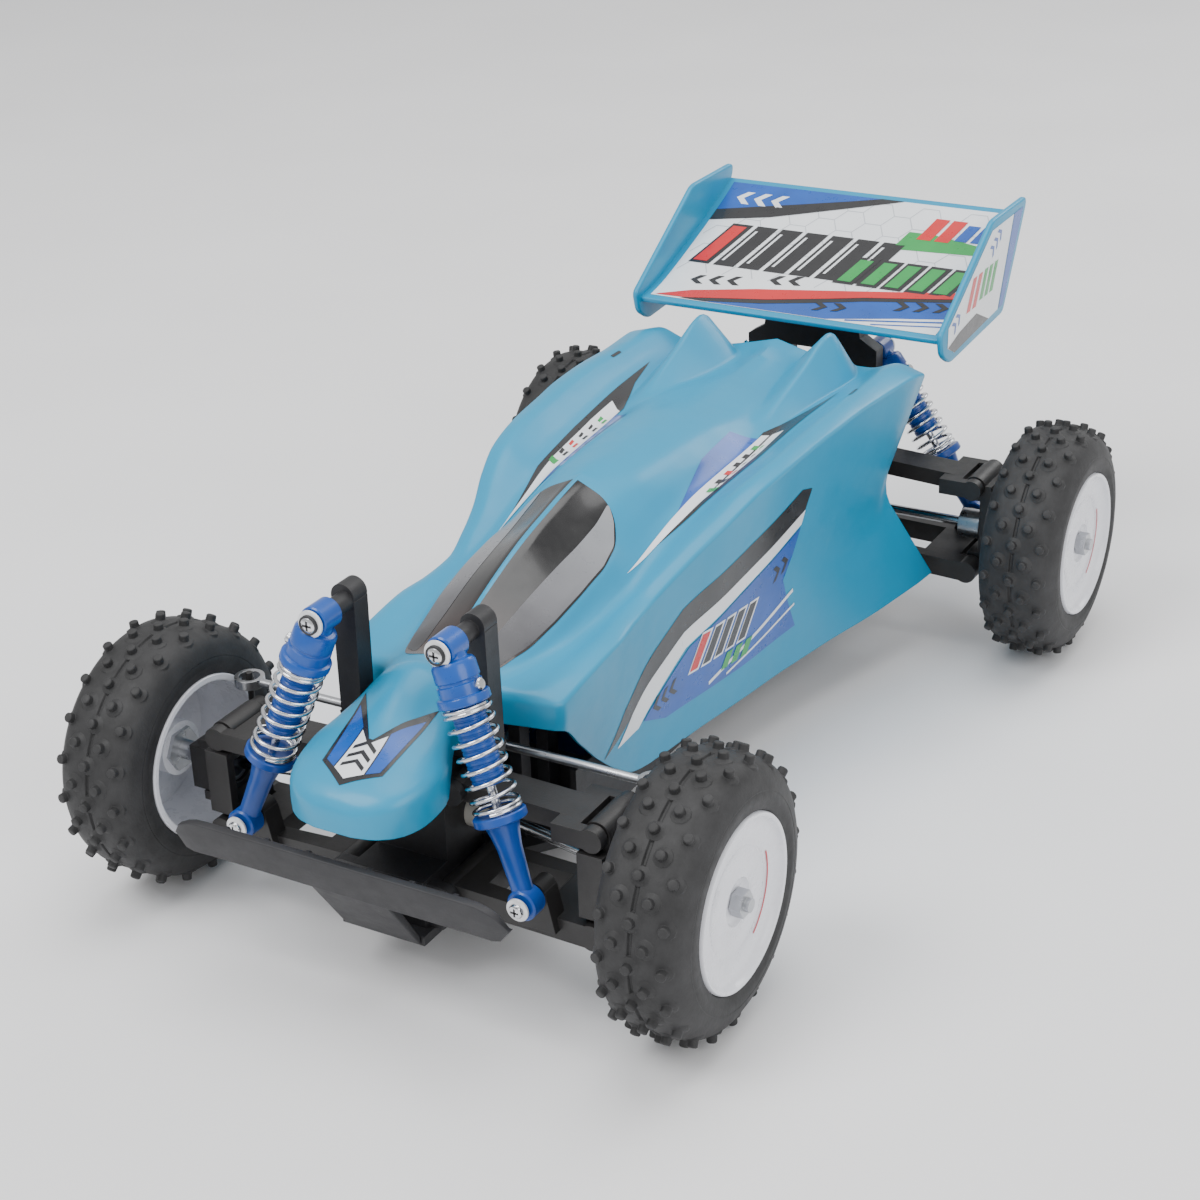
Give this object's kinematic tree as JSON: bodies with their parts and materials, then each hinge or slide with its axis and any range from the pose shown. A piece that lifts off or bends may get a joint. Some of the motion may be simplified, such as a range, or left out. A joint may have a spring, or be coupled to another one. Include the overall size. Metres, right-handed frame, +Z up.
{
  "type": "remote control car",
  "caption": "All-wheel-drive toy buggy: shaft drive, wishbone suspension with coil-over dampers, steered front wheels, spiked tyres, lift-off body shell and rear wing.",
  "frame": {"origin": "on the ground under the tyres, midway between bumper front and wing tips, on the centre plane", "axes": "-Y is the nose, +X the left side of the car, +Z up"},
  "size_m": [0.2218, 0.3612, 0.1455],
  "materials": {
    "shell_blue": "printed polycarbonate, glossy",
    "wing_print": "printed polycarbonate, glossy",
    "bumper_black": "moulded, fine texture",
    "chassis_black": "moulded nylon",
    "gearbox_black": "moulded nylon",
    "arm_black": "moulded nylon",
    "tyre_rubber": "soft rubber",
    "wheel_white": "glossy white",
    "damper_blue": "blue anodised",
    "rod_blue": "blue moulding on a polished rod",
    "spring_steel": "polished wire",
    "steel": "turned steel",
    "screw_steel": "zinc plated",
    "motor_can": "plated can",
    "battery_sleeve": "shrink sleeve",
    "radio_case": "moulded",
    "gear_nylon": "natural nylon",
    "switch_black": "moulded"
  },
  "bodies": {
    "chassis": {"chassis_tub": "chassis_black", "front_bumper": "bumper_black", "front_gearbox": "gearbox_black", "rear_gearbox": "gearbox_black", "rear_wing": "wing_print", "radio_box": "radio_case", "motor": "motor_can", "battery_pack": "battery_sleeve", "chassis_screws": "screw_steel"},
    "body_shell": {"body_shell": "shell_blue"},
    "power_switch": {"power_switch": "switch_black"},
    "propeller_shaft": {"propeller_shaft": "steel"},
    "front_differential": {"front_differential": "gear_nylon"},
    "rear_differential": {"rear_differential": "gear_nylon"},
    "motor_pinion": {"motor_pinion": "steel"},
    "steering_crank": {"steering_crank": "arm_black"},
    "left_tie_rod": {"left_tie_rod": "steel"},
    "right_tie_rod": {"right_tie_rod": "steel"},
    "front_left_lower_arm": {"front_left_lower_arm": "arm_black"},
    "front_left_upper_arm": {"front_left_upper_arm": "arm_black"},
    "front_left_hub_carrier": {"front_left_hub_carrier": "arm_black"},
    "front_left_wheel": {"front_left_rim": "wheel_white", "front_left_tyre": "tyre_rubber", "front_left_axle": "steel"},
    "front_left_damper": {"front_left_damper_body": "damper_blue", "front_left_spring": "spring_steel"},
    "front_left_damper_rod": {"front_left_damper_rod": "rod_blue"},
    "front_left_drive_shaft": {"front_left_drive_shaft": "steel"},
    "front_left_knuckle": {"front_left_knuckle": "arm_black"},
    "front_right_lower_arm": {"front_right_lower_arm": "arm_black"},
    "front_right_upper_arm": {"front_right_upper_arm": "arm_black"},
    "front_right_hub_carrier": {"front_right_hub_carrier": "arm_black"},
    "front_right_wheel": {"front_right_rim": "wheel_white", "front_right_tyre": "tyre_rubber", "front_right_axle": "steel"},
    "front_right_damper": {"front_right_damper_body": "damper_blue", "front_right_spring": "spring_steel"},
    "front_right_damper_rod": {"front_right_damper_rod": "rod_blue"},
    "front_right_drive_shaft": {"front_right_drive_shaft": "steel"},
    "front_right_knuckle": {"front_right_knuckle": "arm_black"},
    "rear_left_lower_arm": {"rear_left_lower_arm": "arm_black"},
    "rear_left_upper_arm": {"rear_left_upper_arm": "arm_black"},
    "rear_left_hub_carrier": {"rear_left_hub_carrier": "arm_black"},
    "rear_left_wheel": {"rear_left_rim": "wheel_white", "rear_left_tyre": "tyre_rubber", "rear_left_axle": "steel"},
    "rear_left_damper": {"rear_left_damper_body": "damper_blue", "rear_left_spring": "spring_steel"},
    "rear_left_damper_rod": {"rear_left_damper_rod": "rod_blue"},
    "rear_left_drive_shaft": {"rear_left_drive_shaft": "steel"},
    "rear_right_lower_arm": {"rear_right_lower_arm": "arm_black"},
    "rear_right_upper_arm": {"rear_right_upper_arm": "arm_black"},
    "rear_right_hub_carrier": {"rear_right_hub_carrier": "arm_black"},
    "rear_right_wheel": {"rear_right_rim": "wheel_white", "rear_right_tyre": "tyre_rubber", "rear_right_axle": "steel"},
    "rear_right_damper": {"rear_right_damper_body": "damper_blue", "rear_right_spring": "spring_steel"},
    "rear_right_damper_rod": {"rear_right_damper_rod": "rod_blue"},
    "rear_right_drive_shaft": {"rear_right_drive_shaft": "steel"}
  },
  "joints": [
    {"name": "front_left_lower_arm_pivot", "type": "hinge", "parent": "chassis", "child": "front_left_lower_arm", "pos_m": [0.017, -0.1365, 0.027], "axis": [0, -1, 0], "range_deg": [0, 11], "stiffness_Nm_per_rad": 2, "springref_deg": -17.19},
    {"name": "front_left_carrier_pivot", "type": "hinge", "parent": "front_left_lower_arm", "child": "front_left_hub_carrier", "pos_m": [0.063, -0.1365, 0.026], "axis": [0, -1, 0], "range_deg": [-11, 0]},
    {"name": "front_left_upper_arm_pivot", "type": "hinge", "parent": "chassis", "child": "front_left_upper_arm", "pos_m": [0.017, -0.1365, 0.057], "axis": [0, -1, 0], "range_deg": [0, 11]},
    {"name": "front_left_damper_pivot", "type": "hinge", "parent": "chassis", "child": "front_left_damper", "pos_m": [0.0207, -0.1465, 0.1045], "axis": [0, -1, 0], "range_deg": [-0.193, 0]},
    {"name": "front_left_damper_slide", "type": "slide", "parent": "front_left_damper", "child": "front_left_damper_rod", "axis": [-0.3668, 0.136, 0.9203], "range_m": [0, 0.00624], "deforming": ["front_left_spring"]},
    {"name": "front_left_drive_shaft_spin", "type": "hinge", "parent": "front_left_lower_arm", "child": "front_left_drive_shaft", "pos_m": [0.019, -0.1265, 0.0416], "axis": [0.9803, -0.1976, 0], "continuous": true},
    {"name": "front_left_steering", "type": "hinge", "parent": "front_left_hub_carrier", "child": "front_left_knuckle", "pos_m": [0.069, -0.1365, 0.0416], "axis": [0, 0, 1], "range_deg": [-20, 20]},
    {"name": "front_left_wheel_spin", "type": "hinge", "parent": "front_left_knuckle", "child": "front_left_wheel", "pos_m": [0.09, -0.1365, 0.0416], "axis": [1, 0, 0], "continuous": true},
    {"name": "front_right_lower_arm_pivot", "type": "hinge", "parent": "chassis", "child": "front_right_lower_arm", "pos_m": [-0.017, -0.1365, 0.027], "axis": [0, 1, 0], "range_deg": [0, 11], "stiffness_Nm_per_rad": 2, "springref_deg": -17.19},
    {"name": "front_right_carrier_pivot", "type": "hinge", "parent": "front_right_lower_arm", "child": "front_right_hub_carrier", "pos_m": [-0.063, -0.1365, 0.026], "axis": [0, 1, 0], "range_deg": [-11, 0]},
    {"name": "front_right_upper_arm_pivot", "type": "hinge", "parent": "chassis", "child": "front_right_upper_arm", "pos_m": [-0.017, -0.1365, 0.057], "axis": [0, 1, 0], "range_deg": [0, 11]},
    {"name": "front_right_damper_pivot", "type": "hinge", "parent": "chassis", "child": "front_right_damper", "pos_m": [-0.0207, -0.1465, 0.1045], "axis": [0, 1, 0], "range_deg": [-0.193, 0]},
    {"name": "front_right_damper_slide", "type": "slide", "parent": "front_right_damper", "child": "front_right_damper_rod", "axis": [0.3668, 0.136, 0.9203], "range_m": [0, 0.00624], "deforming": ["front_right_spring"]},
    {"name": "front_right_drive_shaft_spin", "type": "hinge", "parent": "front_right_lower_arm", "child": "front_right_drive_shaft", "pos_m": [-0.019, -0.1265, 0.0416], "axis": [0.9803, 0.1976, 0], "continuous": true},
    {"name": "front_right_steering", "type": "hinge", "parent": "front_right_hub_carrier", "child": "front_right_knuckle", "pos_m": [-0.069, -0.1365, 0.0416], "axis": [0, 0, 1], "range_deg": [-20, 20]},
    {"name": "front_right_wheel_spin", "type": "hinge", "parent": "front_right_knuckle", "child": "front_right_wheel", "pos_m": [-0.09, -0.1365, 0.0416], "axis": [1, 0, 0], "continuous": true},
    {"name": "rear_left_lower_arm_pivot", "type": "hinge", "parent": "chassis", "child": "rear_left_lower_arm", "pos_m": [0.02, 0.1205, 0.031], "axis": [0, -1, 0], "range_deg": [0, 11], "stiffness_Nm_per_rad": 2, "springref_deg": -17.19},
    {"name": "rear_left_carrier_pivot", "type": "hinge", "parent": "rear_left_lower_arm", "child": "rear_left_hub_carrier", "pos_m": [0.07, 0.1205, 0.029], "axis": [0, -1, 0], "range_deg": [-11, 0]},
    {"name": "rear_left_upper_arm_pivot", "type": "hinge", "parent": "chassis", "child": "rear_left_upper_arm", "pos_m": [0.02, 0.1205, 0.061], "axis": [0, -1, 0], "range_deg": [0, 11]},
    {"name": "rear_left_damper_pivot", "type": "hinge", "parent": "chassis", "child": "rear_left_damper", "pos_m": [0.021, 0.14, 0.0944], "axis": [0, -1, 0], "range_deg": [0, 2.59]},
    {"name": "rear_left_damper_slide", "type": "slide", "parent": "rear_left_damper", "child": "rear_left_damper_rod", "axis": [-0.5696, 0, 0.8219], "range_m": [0, 0.0073], "deforming": ["rear_left_spring"]},
    {"name": "rear_left_drive_shaft_spin", "type": "hinge", "parent": "rear_left_lower_arm", "child": "rear_left_drive_shaft", "pos_m": [0.02, 0.1205, 0.0416], "axis": [1, 0, 0], "continuous": true},
    {"name": "rear_left_wheel_spin", "type": "hinge", "parent": "rear_left_hub_carrier", "child": "rear_left_wheel", "pos_m": [0.09, 0.1205, 0.0416], "axis": [1, 0, 0], "continuous": true},
    {"name": "rear_right_lower_arm_pivot", "type": "hinge", "parent": "chassis", "child": "rear_right_lower_arm", "pos_m": [-0.02, 0.1205, 0.031], "axis": [0, 1, 0], "range_deg": [0, 11], "stiffness_Nm_per_rad": 2, "springref_deg": -17.19},
    {"name": "rear_right_carrier_pivot", "type": "hinge", "parent": "rear_right_lower_arm", "child": "rear_right_hub_carrier", "pos_m": [-0.07, 0.1205, 0.029], "axis": [0, 1, 0], "range_deg": [-11, 0]},
    {"name": "rear_right_upper_arm_pivot", "type": "hinge", "parent": "chassis", "child": "rear_right_upper_arm", "pos_m": [-0.02, 0.1205, 0.061], "axis": [0, 1, 0], "range_deg": [0, 11]},
    {"name": "rear_right_damper_pivot", "type": "hinge", "parent": "chassis", "child": "rear_right_damper", "pos_m": [-0.021, 0.14, 0.0944], "axis": [0, 1, 0], "range_deg": [0, 2.59]},
    {"name": "rear_right_damper_slide", "type": "slide", "parent": "rear_right_damper", "child": "rear_right_damper_rod", "axis": [0.5696, 0, 0.8219], "range_m": [0, 0.0073], "deforming": ["rear_right_spring"]},
    {"name": "rear_right_drive_shaft_spin", "type": "hinge", "parent": "rear_right_lower_arm", "child": "rear_right_drive_shaft", "pos_m": [-0.02, 0.1205, 0.0416], "axis": [1, 0, 0], "continuous": true},
    {"name": "rear_right_wheel_spin", "type": "hinge", "parent": "rear_right_hub_carrier", "child": "rear_right_wheel", "pos_m": [-0.09, 0.1205, 0.0416], "axis": [1, 0, 0], "continuous": true},
    {"name": "steering_crank_pivot", "type": "hinge", "parent": "chassis", "child": "steering_crank", "pos_m": [0, -0.0945, 0.056], "axis": [0, 0, 1], "range_deg": [-10, 10]},
    {"name": "left_tie_rod_slide", "type": "slide", "parent": "front_left_upper_arm", "child": "left_tie_rod", "axis": [1, 0, 0], "range_m": [-0.0049, 0.0049]},
    {"name": "right_tie_rod_slide", "type": "slide", "parent": "front_right_upper_arm", "child": "right_tie_rod", "axis": [1, 0, 0], "range_m": [-0.0049, 0.0049]},
    {"name": "front_differential_spin", "type": "hinge", "parent": "chassis", "child": "front_differential", "pos_m": [0, -0.1265, 0.0416], "axis": [1, 0, 0], "continuous": true},
    {"name": "rear_differential_spin", "type": "hinge", "parent": "chassis", "child": "rear_differential", "pos_m": [0, 0.1205, 0.0416], "axis": [1, 0, 0], "continuous": true},
    {"name": "propeller_shaft_spin", "type": "hinge", "parent": "chassis", "child": "propeller_shaft", "pos_m": [0, 0, 0.0416], "axis": [0, 1, 0], "continuous": true},
    {"name": "motor_pinion_spin", "type": "hinge", "parent": "chassis", "child": "motor_pinion", "pos_m": [0, 0.0945, 0.0656], "axis": [0, 1, 0], "continuous": true},
    {"name": "body_shell_lift", "type": "slide", "parent": "chassis", "child": "body_shell", "axis": [0, 0, 1], "range_m": [0, 0.014]},
    {"name": "power_switch_slide", "type": "slide", "parent": "chassis", "child": "power_switch", "axis": [0, 1, 0], "range_m": [0, 0.004]}
  ],
  "couplings": [
    {"joint": "front_left_carrier_pivot", "follows": "front_left_lower_arm_pivot", "ratio": -1},
    {"joint": "front_left_upper_arm_pivot", "follows": "front_left_lower_arm_pivot", "ratio": 1},
    {"joint": "front_left_damper_pivot", "follows": "front_left_lower_arm_pivot", "ratio": -0.015742},
    {"joint": "front_left_damper_slide", "follows": "front_left_lower_arm_pivot", "m_per_rad": 0.032395},
    {"joint": "front_right_carrier_pivot", "follows": "front_right_lower_arm_pivot", "ratio": -1},
    {"joint": "front_right_upper_arm_pivot", "follows": "front_right_lower_arm_pivot", "ratio": 1},
    {"joint": "front_right_damper_pivot", "follows": "front_right_lower_arm_pivot", "ratio": -0.015742},
    {"joint": "front_right_damper_slide", "follows": "front_right_lower_arm_pivot", "m_per_rad": 0.032395},
    {"joint": "rear_left_carrier_pivot", "follows": "rear_left_lower_arm_pivot", "ratio": -1},
    {"joint": "rear_left_upper_arm_pivot", "follows": "rear_left_lower_arm_pivot", "ratio": 1},
    {"joint": "rear_left_damper_pivot", "follows": "rear_left_lower_arm_pivot", "ratio": 0.23384},
    {"joint": "rear_left_damper_slide", "follows": "rear_left_lower_arm_pivot", "m_per_rad": 0.037915},
    {"joint": "rear_right_carrier_pivot", "follows": "rear_right_lower_arm_pivot", "ratio": -1},
    {"joint": "rear_right_upper_arm_pivot", "follows": "rear_right_lower_arm_pivot", "ratio": 1},
    {"joint": "rear_right_damper_pivot", "follows": "rear_right_lower_arm_pivot", "ratio": 0.23384},
    {"joint": "rear_right_damper_slide", "follows": "rear_right_lower_arm_pivot", "m_per_rad": 0.037915},
    {"joint": "front_right_steering", "follows": "front_left_steering", "ratio": 1},
    {"joint": "steering_crank_pivot", "follows": "front_left_steering", "ratio": -0.5},
    {"joint": "left_tie_rod_slide", "follows": "front_left_steering", "m_per_rad": -0.014},
    {"joint": "right_tie_rod_slide", "follows": "front_left_steering", "m_per_rad": -0.014},
    {"joint": "front_left_wheel_spin", "follows": "rear_left_wheel_spin", "ratio": 1},
    {"joint": "front_left_drive_shaft_spin", "follows": "rear_left_wheel_spin", "ratio": 1},
    {"joint": "front_right_wheel_spin", "follows": "rear_left_wheel_spin", "ratio": 1},
    {"joint": "front_right_drive_shaft_spin", "follows": "rear_left_wheel_spin", "ratio": 1},
    {"joint": "rear_left_drive_shaft_spin", "follows": "rear_left_wheel_spin", "ratio": 1},
    {"joint": "rear_right_wheel_spin", "follows": "rear_left_wheel_spin", "ratio": 1},
    {"joint": "rear_right_drive_shaft_spin", "follows": "rear_left_wheel_spin", "ratio": 1},
    {"joint": "front_differential_spin", "follows": "rear_left_wheel_spin", "ratio": 1},
    {"joint": "rear_differential_spin", "follows": "rear_left_wheel_spin", "ratio": 1},
    {"joint": "propeller_shaft_spin", "follows": "rear_left_wheel_spin", "ratio": 3},
    {"joint": "motor_pinion_spin", "follows": "rear_left_wheel_spin", "ratio": -12}
  ]
}
